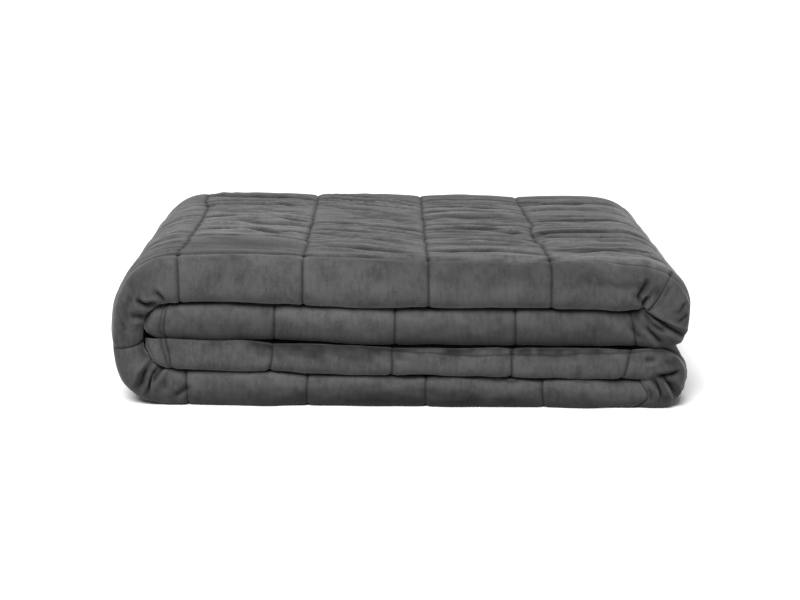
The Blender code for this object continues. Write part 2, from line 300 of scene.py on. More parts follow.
def foldedPlace(along, across, side):
    # Where points of the flat cloth end up in the stack, before quilting and creases.
    ply, smallFold = cloth["ply"], cloth["smallFold"]
    along = np.clip(along, 0.0, clothLength)
    outer, inner = (np.column_stack([np.interp(along, pathLength, face[:, k]) for k in range(2)])
                    for face in (outerFace, innerFace))
    thick = np.hypot(*(outer - inner).T)
    fromEnd = np.minimum(along, clothLength - along)
    hem = 1.0 - smoothStep((fromEnd - 0.5 * cloth["hem"]) / cloth["hem"])
    half = 0.5 * (ply - cloth["plyGap"] / thick) * (1.0 - cloth["hemThinning"] * hem)
    front, back = blendRuns(along, "setback"), runDepth
    clear = blendRuns(along, "nose") - (0.5 * ply + half) * thick - mainCreaseDepth(along)
    tuck = front - clear + (0.5 * ply + half) * thick + cloth["plyGap"]

    def level(w, yStart, yEnd, start, end):
        return w + 0.0 * along, yStart + (yEnd - yStart) * (across - start) / (end - start)

    reach = clear + np.maximum(side, 0.0) * 2.0 * half * thick
    angle, square = frontTurn(along, across)
    c, s = np.abs(np.cos(angle)), np.sin(angle)
    power = 2.0 / square
    nose = (0.5 + (1.5 * ply + side * half) * np.sign(s) * np.abs(s) ** power,
            front - reach * c ** power)
    angle = np.pi / 2 - np.pi * (across - backStart) / smallFold
    radius = 0.5 * ply + side * half
    backFold = 3.0 * ply + radius * np.sin(angle), back + radius * thick * np.cos(angle)
    angle = np.pi / 2 - np.pi * (across - innerStart) / smallFold
    radius = 0.5 * ply - side * half
    innerFold = 2.0 * ply + radius * np.sin(angle), tuck - radius * thick * np.cos(angle)
    stretches = [
        level(0.5 * ply - side * half, back + cloth["edgeReach"][0], front, 0.0, noseStart),
        nose,
        level(3.5 * ply + side * half, front, back, noseEnd, backStart),
        backFold,
        level(2.5 * ply - side * half, back, tuck, backEnd, innerStart),
        innerFold,
        level(1.5 * ply + side * half, tuck, back + cloth["edgeReach"][1], innerEnd, clothWidth),
    ]
    part = np.digitize(across, [noseStart, noseEnd, backStart, backEnd, innerStart, innerEnd])
    w, y = (np.choose(part, values) for values in zip(*stretches))
    x, z = (inner + (outer - inner) * w[:, None]).T

    upper, lower, corner = cloth["nestCorners"]     # the ends follow the left bend's inside
    nested = insideLeft(z) + cloth["endClearance"] + cloth["nestRound"] * np.abs(2 * w - 1) ** 6
    nested += np.where(along < marks[1], upper * np.clip(2.0 * w - 1.0, 0.0, 1.0) ** 3,
                       lower * smoothStep((0.95 - w) / 0.4) + corner * np.clip(1 - w, 0, 1) ** 3)
    x = x + (np.maximum(0.0, nested - cloth["endX"])
             * (1.0 - smoothStep(fromEnd / cloth["nestLength"])))
    z = z * (1.0 - cloth["backDrop"] * np.clip(y / runDepth, 0.0, 1.0))
    inFront = 1.0 - smoothStep(y / settlingFade)
    z = z + inFront * sum(rise * mm * patch(x, z, spot) for *spot, rise in settling)
    return np.column_stack([x + cloth["shift"][0], y + cloth["shift"][1], np.maximum(0.0, z)])


# Quilting, wrinkles and creases are heights over the folded sheet.
quilting = {
    "top": 0.0034, "front": 0.0050, "back": 0.004,  # a pocket's middle above its seams
    "alongPower": 0.60, "acrossPower": 0.55,        # low for pockets with steep sides
    "alongShare": (0.66, 0.34),    # how much the lengthwise seams draw in, on top and in front
    "acrossShare": (0.42, 0.15),   # and the cross seams, on top and in the bends
    "groove": (0.0010, 0.0015), "grooveWidth": 0.0016,  # the narrow V pulled in by the stitching
    "crossGroove": 0.5,                             # its share in the cross seams
    "edgeGroove": (0.0012, 0.0020),                 # more of it in the seam of the top edge
    "ridge": (0.0018, 0.0080, 0.0046),              # height, place, width of the roll behind it
    "hemLine": 0.0036, "hemShare": 0.4,             # the hem's two lines of stitching
    "wander": 0.0010, "edgeWander": 0.0010,         # how far a seam strays from its line
    "faint": {0: 0.6, 10: 0.9}, "faintOnTop": {5: 0.25, 9: 0.4},  # seams that hardly show
}
# Where the outer face is free to puff up: mark, metres after it, share.
puffShares = [(0, 0.00, 0.0), (1, 0.02, 0.0), (1, 0.05, 1.0), (4, 0.00, 1.0), (4, 0.03, 0.0),
              (5, 0.00, 0.0), (5, 0.02, 0.9), (6, -0.04, 0.9), (6, -0.01, 0.0), (7, 0.00, 0.0)]
ridgeShares = [(0.48, 0.3), (0.52, 0.8), (0.60, 1.0), (0.70, 0.9), (0.78, 0.4), (0.92, 0.15)]
# Where the cloth has slipped round a fold: along, across, reach both ways, slip both ways.
slips = [
    (1705, 392, 170, 40, 0, -16.5),     # front seam of the third layer
    (1300, 398, 180, 30, 0, -6.5),      # and of the lowest
    (640, 402, 110, 18, 0, -2.4),       # top edge
    (880, 402, 100, 45, 0, 11.5),
    (515, 397, 55, 22, 0, -8),
    (965, 396, 40, 22, 0, -9),
    (911, 740, 50, 60, 7, 0),           # back of the first seam on top
    (606, 745, 50, 70, 7, 0),           # the fourth, which bends
    (606, 640, 50, 45, 4, 0),
    (606, 525, 50, 60, 6, 0),
    (911, 358, 45, 26, -5, 0),          # first seam's foot
    (911, 400, 45, 50, 3, 0),           # and its head
    (707.5, 385, 40, 50, -1.3, 0),
    (606, 358, 45, 26, 4, 0),           # fourth seam's foot
    (506, 358, 30, 26, -7.5, 0),        # upper right bend
    (405, 354, 40, 30, 13, 0),
    (1500, 402, 45, 15, -20, 0),        # lower right bend
    (1010, 378, 40, 22, 9.5, 0),        # left bend
    (1740, 358, 200, 20, 3.5, 0),       # feet of the third layer's seams
    (16.5, 356, 20, 12, -4, 0),         # hems
    (1981.4, 374, 20, 16, -4, 0),
]
wrinkles = {
    "seed": 11,
    # kinds: spacing, depth from and to, width from and to, tilt, bow, share that stops short
    "kinds": [(0.038, 0.0014, 0.0034, 0.0044, 0.0074, 0.012, 0.010, 0.35),
              (0.0150, 0.0008, 0.0024, 0.0024, 0.0040, 0.012, 0.006, 0.65),
              (0.0080, 0.0003, 0.0009, 0.0017, 0.0026, 0.010, 0.005, 0.85)],
    "slant": {5: 0.004, 6: 0.010, 7: 0.046, 8: 0.018},  # of a pocket's wrinkles
    "share": {9: 0.50, 4: 0.3},                     # where there are fewer
    "upTo": 0.37, "swell": 0.006,                   # how far back, and how they swing
    "calm": [(862, 445, 75, 50, 0.97)],             # smooth places, how smooth
    "seamShare": 0.25, "seamReach": 0.012,          # what is left of them by the seams
    "trough": (0.55, 1.6, 0.8, 1.2),                # lip, its place and width, steepness
    "pucker": 0.00015, "puckerSpacing": 0.0085, "puckerReach": 0.008,
    "dents": 0.0011, "dentSize": 0.030,
}
# Low swells: along, across, reach both ways, height.
swells = [
    (420, 362, 12, 8, 2.6),             # closes the upper right crevice
    (516.5, 358.5, 8, 6, -3.5),
    (1735, 398, 180, 8, -3.8),          # upper band of the third layer, under the second
    (1610, 400, 26, 8, -3),
    (396, 399, 26, 6, -2.5),
    (885, 480, 30, 30, 2.8),            # behind the first pocket's smooth front part
    (845, 465, 30, 26, 2.2),
]
# Creases one by one: depth, half width, and the points that each runs through.
creases = [
    # left bend, from the inside corner outwards
    (4.6, 2.2, (957.5, 379.8), (958.1, 375.2), (957.3, 370.4), (953.4, 366.1), (946.1, 364.1),
     (938, 360)),
    (3.2, 2.2, (937.3, 370.5), (933.8, 367.6), (930.3, 364.2), (927, 360)),
    (2.6, 2.7, (976.6, 378.7), (973.5, 372.5), (970.3, 366.9), (969, 362)),
    (1.8, 2.3, (984.5, 387), (987.9, 382.8), (993.6, 380.6)),
    (1.8, 2.3, (962, 386), (962.6, 384.3), (965.3, 379.5)),
    # its lower half, fanning out over the floor
    (5, 2.4, (1054.5, 356), (1056.1, 370.2), (1055.8, 374.1), (1058.1, 377.8), (1059.7, 380),
     (1060.3, 383.9), (1060.6, 388)),
    (4.8, 2.3, (1074, 356), (1069.7, 368.5), (1066.2, 371.9), (1066.7, 375.1), (1069.6, 379.5),
     (1071.9, 383.1), (1073.5, 387)),
    (4, 2.2, (1083, 357), (1077.1, 368.1), (1074, 371.8), (1073.5, 374.4), (1074, 378)),
    (2.2, 2.7, (1086.9, 372.5), (1087.1, 376.5), (1088.6, 381.7)),
    (2.8, 2.2, (1113, 378), (1108, 380.2), (1102.5, 383.3), (1095.2, 386.4)),
    # upper right bend
    (4.8, 2.4, (524, 395), (526.4, 392.3), (529.9, 388.7), (535.8, 383.7), (541.4, 378.9),
     (542.5, 374.8), (543, 370)),
    (4.8, 2.4, (523.6, 384.1), (527.4, 377.7), (530.5, 372.5), (533, 364)),
    (5.4, 2.3, (446, 356), (447.5, 367.8), (448.5, 372.4), (448, 377.7), (447.5, 382),
     (447.7, 385.7), (447.9, 388.9), (448.2, 393), (448.4, 396.5)),
    (4, 2.2, (428.5, 372.1), (434.1, 375.6), (438, 379), (440, 382)),
    (3.7, 2.4, (414, 374), (417, 377.2), (421.4, 381.3), (426.2, 385.8), (429, 389)),
    (2.8, 2.1, (402, 375.5), (403.8, 377.8), (406.2, 381.2), (408.6, 383.5), (410, 386)),
    (2.8, 2.1, (469, 396), (466.3, 392.9), (464.1, 391.1), (458, 387)),
    (2.8, 2.3, (479, 398), (476.3, 394.4), (471.8, 391.3), (466.8, 386.8)),
    (1.6, 2.3, (495.9, 387.6), (499.3, 391.7), (501.6, 395.4)),
    # lower right bend
    (2.6, 2, (1584, 394.8), (1581.9, 394.8), (1576, 394.1), (1571.4, 394.8)),
    (2, 2.1, (1564.2, 394.2), (1557.6, 395.2), (1552.4, 398.2)),
    (4.6, 2.3, (1547.9, 380), (1547.9, 386.4), (1548, 390.7), (1549.3, 393.8), (1548.7, 397.5)),
    (4.8, 2.3, (1540, 374), (1536.3, 379.4), (1530.9, 380), (1523.4, 381.7), (1519.5, 385.2),
     (1516.3, 388.9), (1514, 393)),
    (5, 2.3, (1548, 380), (1543.7, 385.7), (1538.5, 387.1), (1535, 390.1), (1533.2, 393.1),
     (1530.5, 397.5)),
    (2.2, 2.4, (1506.5, 376), (1505.8, 379.8), (1504.8, 386.1), (1504.5, 390)),
    (2.2, 2.1, (1527.1, 388.7), (1522.3, 390.5), (1520, 393)),
    # short ones on the fronts
    (1.8, 3.4, (1638, 382), (1636.5, 386.1), (1635.1, 390.3), (1634, 394)),
    (1, 4, (585, 396), (590, 390), (596, 385)),
    (1.2, 3.6, (622, 398.5), (623.5, 390), (624, 382)),
    # long wrinkles on top, pocket by pocket from the left
    (5.7, 6.2, (913.5, 675), (902.1, 678.6), (883.5, 675.2), (860.1, 670), (837.5, 674.2),
     (820.4, 671.9)),
    (5.2, 6, (911.9, 587), (897.7, 580), (877.8, 579), (856.1, 585), (833.1, 586.4),
     (813.9, 582.5)),
    (2.8, 5, (884, 543.1), (861.1, 530.8), (838.1, 512.8), (817.7, 505.6)),
    (2, 6, (909.8, 489.7), (896.7, 487.3), (874.9, 483), (851.9, 470)),
    (2, 4.4, (900.8, 635.9), (877, 629.2), (853.4, 621.7)),
    (3, 5, (817.6, 582.5), (800.7, 567), (778.1, 556.7), (753.9, 543.8)),
    (3.2, 5, (810, 529.2), (785.8, 511.5), (759.4, 485.7), (733.7, 470), (710, 462.6)),
    (2.8, 5, (779.8, 636.2), (756.3, 616), (733.3, 594.8), (711.8, 570.6)),
    (3, 5, (807.1, 697.5), (780.3, 661.4), (751.8, 638), (713.9, 614.4)),
    (2.8, 5, (809.7, 477.6), (784.1, 445.7), (754.5, 429), (729.7, 420), (709.9, 417.2)),
    (3.5, 5.6, (707.4, 609), (695.5, 613.9), (664, 617.5), (631.6, 619), (614.6, 610)),
    (3, 5.4, (706.7, 545), (684.9, 544), (658.4, 541), (632.8, 532.8), (614.1, 514)),
    (3, 5, (695, 483.6), (660.7, 485.4), (634.8, 483), (613.1, 465.7)),
    (2.2, 5, (704.7, 427.2), (675.7, 426.7), (642.5, 428.1), (612.6, 428.1)),
    (2.5, 5, (704.9, 700), (679.9, 697), (647.1, 694), (613.3, 679.5)),
    (3.2, 5.4, (610.7, 659.2), (588, 667), (561.3, 667.3), (538.7, 667), (515.6, 685.1)),
    (3, 5, (611.1, 615), (590.2, 616.9), (562.3, 619.3), (539.2, 620.1), (517.3, 623.9)),
    (4.2, 5.6, (612.5, 510.7), (599.6, 523), (584.5, 530), (553.1, 530.9), (519.6, 530.9),
     (500, 535)),
    (2.8, 5, (605.5, 490), (591.7, 489.1), (565.9, 489.5), (535.6, 491.3), (518.6, 493)),
    (3, 5, (603.8, 460), (582, 456), (552.1, 458.1), (517.8, 461.7)),
    (2.5, 4.6, (597.5, 426), (563.2, 432.5), (534.5, 433), (513.3, 440.9)),
    # round the outside of the left bend
    (2.5, 3.6, (905, 678), (925, 676), (950, 670), (980, 665)),
    (2.3, 3.4, (908, 620), (930, 612), (950, 608), (970, 605)),
    (2.5, 3.6, (906, 575), (925, 568), (950, 560), (980, 556)),
    (2.1, 3.2, (907, 510), (925, 502), (945, 496), (970, 493)),
    (2.1, 3.2, (907, 470), (925, 460), (945, 453), (975, 450)),
    (1.9, 2.8, (908, 438), (925, 428), (945, 422), (970, 419)),
]
creaseTrough = (0.52, 1.9, 0.9, 1.3)    # as for the wrinkles
fullCreaseShadeDepth = 0.0042                     # a crease this deep gets the darkest painted shade


def softNoise(a, b, seed):
    # Smooth random value from -1 to 1, one cell to a unit.
    table = np.random.default_rng(seed).uniform(-1.0, 1.0, (97, 89))
    ia, ib = np.floor(a).astype(int), np.floor(b).astype(int)
    fa, fb = smoothStep(a - ia), smoothStep(b - ib)

    def corner(i, j):
        return table[(ia + i) % 97, (ib + j) % 89]

    near = corner(0, 0) * (1 - fa) + corner(1, 0) * fa
    far = corner(0, 1) * (1 - fa) + corner(1, 1) * fa
    return near * (1 - fb) + far * fb


def pocketPlace(place, seams):
    return np.interp(place, seams, np.arange(len(seams)))


def seamDistance(place, seams):
    order = np.clip(np.searchsorted(seams, place), 1, len(seams) - 1)
    return np.minimum(np.abs(place - seams[order - 1]), np.abs(seams[order] - place))


def slipped(along, across):
    # Where the cloth lies once it has slipped: the seams' own coordinates stay as they are.
    u, v = along.copy(), across.copy()
    for *spot, slipAlong, slipAcross in slips:
        share = patch(along, across, spot, 3.0)
        u, v = u + slipAlong * mm * share, v + slipAcross * mm * share
    return np.clip(u, 0.0, clothLength), np.clip(v, 0.0, clothWidth)


def puffAmount(along, across):
    angle, square = frontTurn(along, across)
    share = np.interp(along, [marks[m] + offset for m, offset, _ in puffShares],
                      [value for _, _, value in puffShares])
    top, eased = quilting["top"] * share, 0.012
    front = np.maximum(quilting["front"] * np.abs(np.cos(angle)) ** (2.0 / square),
                       top * smoothStep((across - noseEnd + eased) / eased))
    backAngle = np.pi * (across - backStart) / cloth["smallFold"]
    part = np.digitize(across, [noseStart, noseEnd, backStart, backEnd])
    back = np.maximum(quilting["back"] * np.sin(backAngle), top * np.cos(backAngle / 2) ** 2)
    return np.choose(part, [0.0 * along, front, top, back, 0.0 * along])


def pillow(place, seams, power):
    return np.sin(np.pi * (pocketPlace(place, seams) % 1.0)) ** power


def trough(s, lip, lipAt, lipWidth, power):
    # A soft valley with a raised lip, at s half widths from its middle.
    return lip * np.exp(-((s - lipAt) / lipWidth) ** 2) - np.exp(-s ** power)


def wrinkleField(along, across):
    # Wrinkles run from seam to seam along the cloth, over the top and round the bends.
    rng = np.random.default_rng(wrinkles["seed"])
    height = np.zeros_like(along)
    pocket = pocketPlace(along, seamsAlong)
    for column in range(len(seamsAlong) - 1):
        chosen = np.flatnonzero((pocket >= column) & (pocket < column + 1))
        t, v = pocket[chosen] - column, across[chosen]
        near = smoothStep(np.minimum(t, 1.0 - t) * cloth["pitchAlong"] / wrinkles["seamReach"])
        swell = wrinkles["swell"] * softNoise(v * 14.0, 0.0 * v + 3.1 * column, 8)
        slant, strength = wrinkles["slant"].get(column, 0.0), wrinkles["share"].get(column, 1.0)
        for spacing, low, high, thin, wide, tilt, bow, short in wrinkles["kinds"]:
            count = int(wrinkles["upTo"] / spacing)
            for n, share in enumerate(rng.uniform(0.0, 1.0, (count, 9))):
                centre = (noseEnd + (n + share[0]) * spacing
                          + (tilt * (share[3] - 0.5) + swell + slant) * (t - 0.5)
                          + bow * (share[4] - 0.5) * np.sin(np.pi * t)
                          + 0.08 * spacing * softNoise(6.0 * t + 7.1 * n, 0.0 * t + n, 5))
                deep = low + (high - low) * share[1] ** 1.5
                width = thin + (wide - thin) * share[2]
                first = 0.6 * share[5] if share[6] < short and share[7] < 0.7 else -0.4
                last = 0.4 + 0.6 * share[8] if share[6] < short and share[7] > 0.3 else 1.4
                taper = smoothStep((t - first) / 0.25) * smoothStep((last - t) / 0.25)
                taper *= wrinkles["seamShare"] + (1.0 - wrinkles["seamShare"]) * near
                height[chosen] += strength * deep * taper * trough(np.abs(v - centre) / width,
                                                                   *wrinkles["trough"])
    for *spot, share in wrinkles["calm"]:
        height *= 1.0 - share * patch(along, across, spot, 4.0)
    return height


def puckerField(along, across):
    # Small pinches beside the lengthwise seams.
    near = seamDistance(along, seamsAlong)
    which = np.round(pocketPlace(along, seamsAlong))
    phase = across / wrinkles["puckerSpacing"] + 0.8 * softNoise(across * 60.0, which * 3.3, 21)
    strength = 0.6 + 0.6 * softNoise(across * 45.0, which * 5.7 + 9.0, 22)
    return (-wrinkles["pucker"] * strength * np.exp(-near / wrinkles["puckerReach"])
            * (1.0 - np.abs(np.sin(np.pi * phase)) ** 0.8))


def creaseField(along, across, place):
    # The listed creases as troughs, and the painted shade laid down in them.
    height, shade = np.zeros_like(along), np.zeros_like(along)
    for deep, wide, *points in creases:
        depth, width, points = deep * mm, wide * mm, np.array(points) * mm
        count = 8 * (len(points) - 1) + 1
        at = np.linspace(0.0, len(points) - 1.0, count)
        path = [np.interp(at, np.arange(len(points)), points[:, k]) for k in range(2)]
        line = foldedPlace(*slipped(*path), np.ones(count))
        near = np.ones(len(along), dtype=bool)      # only points near it are measured
        for own, value, reach in zip(path, (along, across), (0.05, 6.0 * width)):
            near &= (value > own.min() - reach) & (value < own.max() + reach)
        near = np.flatnonzero(near)
        gap, share = np.full(len(near), 9.0), np.zeros(len(near))
        for n, (a, b) in enumerate(zip(line[:-1], line[1:])):
            t = np.clip((place[near] - a) @ (b - a) / ((b - a) @ (b - a)), 0.0, 1.0)
            distance = np.linalg.norm(place[near] - a - t[:, None] * (b - a), axis=1)
            share = np.where(distance < gap, (n + t) / (count - 1), share)
            gap = np.minimum(gap, distance)
        taper = 0.1 + 0.9 * smoothStep(np.minimum(share, 1.0 - share) / 0.3)
        s = gap / width
        height[near] += depth * taper * trough(s, *creaseTrough)
        # painted shade in the crease, darkest at its middle
        shade[near] = np.maximum(shade[near], min(1.0, depth / fullCreaseShadeDepth) * taper
                                 * np.exp(-(s / 0.75) ** 2))
    return height, shade


def grooveField(along, across, top):
    # The lines of stitching, one to a seam and two to a hem.
    deep = quilting["groove"][1] + (quilting["groove"][0] - quilting["groove"][1]) * top
    which = np.round(pocketPlace(along, seamsAlong)).astype(int)
    faint, faintOnTop = (np.array([quilting[name].get(n, 1.0) for n in range(len(seamsAlong))])
                         for name in ("faint", "faintOnTop"))
    strength = faint[which] * (1.0 - top * (1.0 - faintOnTop[which]))
    fromEnd = np.minimum(along, clothLength - along)
    second = np.abs(fromEnd - cloth["hem"] + quilting["hemLine"])
    height = np.zeros_like(along)
    for gap, share in ((seamDistance(along, seamsAlong), strength), (second, 0.8),
                       (seamDistance(across, seamsAcross), quilting["crossGroove"])):
        height -= deep * share * np.exp(-(gap / quilting["grooveWidth"]) ** 1.3)
    onTop = (along > marks[1]) & (along < marks[4])
    deep, width = quilting["edgeGroove"]
    return height - deep * onTop * np.exp(-(np.abs(across - noseEnd) / width) ** 1.3)


def strayed(along, across):
    # The seams' own coordinates, so that a seam strays a little from its line.
    uneven = quilting["edgeWander"] * (along > marks[6])
    return (along + quilting["wander"] * softNoise(across * 55.0, along * 2.0, 31),
            across + quilting["wander"] * softNoise(along * 45.0, across * 2.0, 32)
            + uneven * (softNoise(along * 70.0, across * 2.0, 33)
                        + 0.6 * softNoise(along * 190.0, across * 2.0, 34)))


def quiltHeight(along, across, placeAcross):
    # The height of the quilting over the folded sheet, and the wrinkles' own part of it.
    seamAlong, seamAcross = strayed(along, across)
    amount = puffAmount(along, placeAcross)
    top = smoothStep((placeAcross - noseEnd - 0.002) / 0.012)       # 0 in front, 1 on top
    pastBend = marks[3] + 0.04
    bent = np.interp(along, [marks[1], marks[2], marks[3], pastBend, marks[6]],
                     [1.0, 0.0, 0.0, 1.0, 1.0])
    flat = np.interp(along, [marks[1], marks[2], marks[2] + 0.03, marks[3], pastBend],
                     [0.3, 0.3, 1.0, 1.0, 0.6])
    fromEnd = np.minimum(along, clothLength - along)
    pressed = (((along < marks[1]) | (along > marks[6]))            # under the layer above
               * smoothStep((placeAcross - noseEnd + 0.014) / 0.010))
    front = quilting["alongShare"][1] * np.where(fromEnd < 0.06, quilting["hemShare"], 1.0)
    front = front * (1.0 - 0.85 * pressed)
    shareOnTop, shareInBends = quilting["acrossShare"]
    alongShare = front + (quilting["alongShare"][0] * flat - front) * top
    acrossShare = shareOnTop + (shareInBends - shareOnTop) * bent
    puffed = 1.0 - alongShare * (1.0 - pillow(seamAlong, seamsAlong, quilting["alongPower"]))
    puffed *= 1.0 - acrossShare * (1.0 - pillow(seamAcross, seamsAcross, quilting["acrossPower"]))
    free = np.clip(amount / quilting["top"], 0.0, 1.0)
    height = amount * puffed + grooveField(seamAlong, seamAcross, top) * (1.0 - 0.7 * pressed)
    wrinkled = free * top * wrinkleField(along, across)
    height += wrinkled + free * top * puckerField(along, across)
    tall, behind, width = quilting["ridge"]
    height += (free * tall * np.interp(along, *zip(*ridgeShares))
               * np.exp(-((across - noseEnd - behind) / width) ** 2))
    for *spot, rise in swells:
        height += rise * mm * patch(along, placeAcross, spot)
    a, b = along / wrinkles["dentSize"], across / wrinkles["dentSize"]
    height += (1.0 - top) * wrinkles["dents"] * (softNoise(a, b * 0.7, 41)
                                                 + 0.5 * softNoise(a * 2.3, b * 1.4, 42))
    return height, wrinkled


# How finely the sheet is divided.
detail = {
    "slab": 0.001,              # flat slab's height while it is being divided
    "alongCells": 3, "bendCells": {3: 5, 4: 8, 5: 5, 9: 8, 10: 8, 15: 8},   # to a pocket at first
    "fine": 8, "back": 4, "medium": 3,          # cuts of a cell's side where it shows
    "fineUpTo": 0.623, "joint": 0.003,          # the narrow row between fine and less fine cells
    "edgeBand": 0.03, "foldBand": 0.015, "upperBand": 0.0201,
    "shortest": 0.006,          # shorter sides aren't cut
    "crowding": {"along": 0.74, "bends": 0.10, "across": 0.20, "edge": 0.40},   # by the seams
}


def dividingLines(starts, counts, end):
    lines = []
    for start, following, count in zip(starts, starts[1:] + [end], counts):
        lines.extend(np.linspace(start, following, count, endpoint=False))
    return np.array(lines + [end])


def isFine(u, v):
    onTop = marks[1] < u < 1.0 and v < detail["fineUpTo"]
    upper = u > marks[6] - detail["edgeBand"] and v < noseEnd + detail["upperBand"]
    return (noseStart - detail["foldBand"] < v < noseEnd
            or noseEnd <= v < backStart and (onTop or upper))


def isBack(u, v):
    return marks[1] < u < 1.0 and detail["fineUpTo"] + detail["joint"] <= v < backStart


def isMedium(u, v):
    band = detail["edgeBand"]
    outside = marks[1] - band < u < marks[4] + band or marks[5] - band < u < marks[6] + band
    return (v < band or v > clothWidth - band or backStart - band < v < backEnd + detail["foldBand"]
            or (outside and noseEnd <= v < backStart))


def putInOrder(items, placeOf):
    # Sorts points or faces by place, so that the mesh comes out the same each run.
    rank = {item: n for n, item in enumerate(sorted(items, key=placeOf))}
    items.sort(key=rank.get)


def flatSlab():
    # The flat cloth as a closed slab, divided finely only where it shows once folded.
    pockets = range(len(seamsAlong) - 1)
    alongLines = dividingLines([0.0, *seamsAlong],
                               [1] + [detail["bendCells"].get(n, detail["alongCells"])
                                      for n in pockets] + [1], clothLength)
    band, foldBand, fineUpTo = detail["edgeBand"], detail["foldBand"], detail["fineUpTo"]
    stretches = {0.0: 2, band: 5, noseStart - foldBand: 1, noseStart: 4, noseEnd: 11,
                 fineUpTo: 1, fineUpTo + detail["joint"]: 7, backStart: 2, backEnd: 1,
                 backEnd + foldBand: 5, innerStart: 2, innerEnd: 5, clothWidth - band: 2}
    acrossLines = dividingLines([*stretches], [*stretches.values()], clothWidth)
    columns, rows = len(alongLines) - 1, len(acrossLines) - 1
    bm = bmesh.new()
    bmesh.ops.create_grid(bm, x_segments=columns, y_segments=rows, size=0.5)
    bmesh.ops.solidify(bm, geom=bm.faces[:], thickness=1.0)
    top = max(vert.co.z for vert in bm.verts)
    for vert in bm.verts:
        side = detail["slab"] if vert.co.z > top - 0.5 else 0.0
        vert.co = (alongLines[round((vert.co.x + 0.5) * columns)],
                   acrossLines[round((vert.co.y + 0.5) * rows)], side)
    for test, cuts in ((isFine, detail["fine"]), (isBack, detail["back"]),
                       (isMedium, detail["medium"])):
        edges = set()
        for face in bm.faces:
            middle = face.calc_center_median()
            if middle.z > 0.9 * detail["slab"] and test(middle.x, middle.y):
                edges.update(edge for edge in face.edges
                             if edge.calc_length() > detail["shortest"])
        bmesh.ops.subdivide_edges(bm, edges=list(edges), cuts=cuts, use_grid_fill=True)
    putInOrder(bm.verts, lambda vert: vert.co[:])
    putInOrder(bm.faces, lambda face: face.calc_center_median()[:])
    return bm


def crowdSeams(place, seams, crowding):
    # Moves the dividing lines closer to the seams, so that the grooves come out crisp.
    pocket = pocketPlace(place, seams)
    part = pocket - np.floor(pocket)
    moved = np.floor(pocket) + part - crowding * np.sin(2 * np.pi * part) / (2 * np.pi)
    inside = (place > seams[0]) & (place < seams[-1])
    return np.where(inside, np.interp(moved, np.arange(len(seams)), seams), place)


def outwards(u, v, side):
    # The folded sheet's normals, from small steps both ways.
    step = 0.0004
    du = foldedPlace(u + step, v, side) - foldedPlace(u - step, v, side)
    dv = foldedPlace(u, v + step, side) - foldedPlace(u, v - step, side)
    normal = np.cross(dv, du)
    return normal / np.maximum(np.linalg.norm(normal, axis=1), 1e-12)[:, None]


def makeBlanket():
    bm = flatSlab()
    mesh = bpy.data.meshes.new("blanket_cloth")
    bm.to_mesh(mesh)
    bm.free()
    flat = np.empty(len(mesh.vertices) * 3)
    mesh.vertices.foreach_get("co", flat)
    along, across, level = flat.reshape(-1, 3).T
    side = 2.0 * level / detail["slab"] - 1.0
    shown, crowding = side > 0.5, detail["crowding"]
    bent = np.isin(np.floor(pocketPlace(along, seamsAlong)), list(detail["bendCells"]))
    along = np.where(shown, crowdSeams(along, seamsAlong,
                                       np.where(bent, crowding["bends"], crowding["along"])), along)
    byEdge = across < noseEnd + cloth["pitchAcross"]
    across = np.where(shown & (across > noseEnd) & (across < backStart),
                      crowdSeams(across, seamsAcross,
                                 np.where(byEdge, crowding["edge"], crowding["across"])), across)
    u, v = slipped(along, across)
    place = foldedPlace(u, v, side)
    height, shade, wrinkled = np.zeros((3, len(place)))
    onTopLayer = (along > marks[1]) & (along < marks[4])
    w = np.where(onTopLayer, across, v)
    height[shown], wrinkled[shown] = quiltHeight(along[shown], across[shown], w[shown])
    deep, shade[shown] = creaseField(along[shown], across[shown], place[shown])
    height[shown] += deep
    place += outwards(u, v, side) * height[:, None]
    reach, drawn = cloth["endRound"]
    fromEnd = np.minimum(along, clothLength - along)
    place[:, 1] += drawn * np.clip(1.0 - fromEnd / reach, 0.0, 1.0) ** 2 * (v < noseEnd + 0.004)
    place[:, 2] = np.maximum(place[:, 2], 0.0)
    mesh.vertices.foreach_set("co", place.ravel())
    mesh.flip_normals()
    addSheetMap(mesh, *strayed(along, across))
    addNapAndPaintedLight(mesh, along, across, shade, wrinkled)
    mesh.update()
    mesh.shade_smooth()
    blanket = bpy.data.objects.new("blanket_cloth", mesh)
    bpy.context.scene.collection.objects.link(blanket)
    return blanket
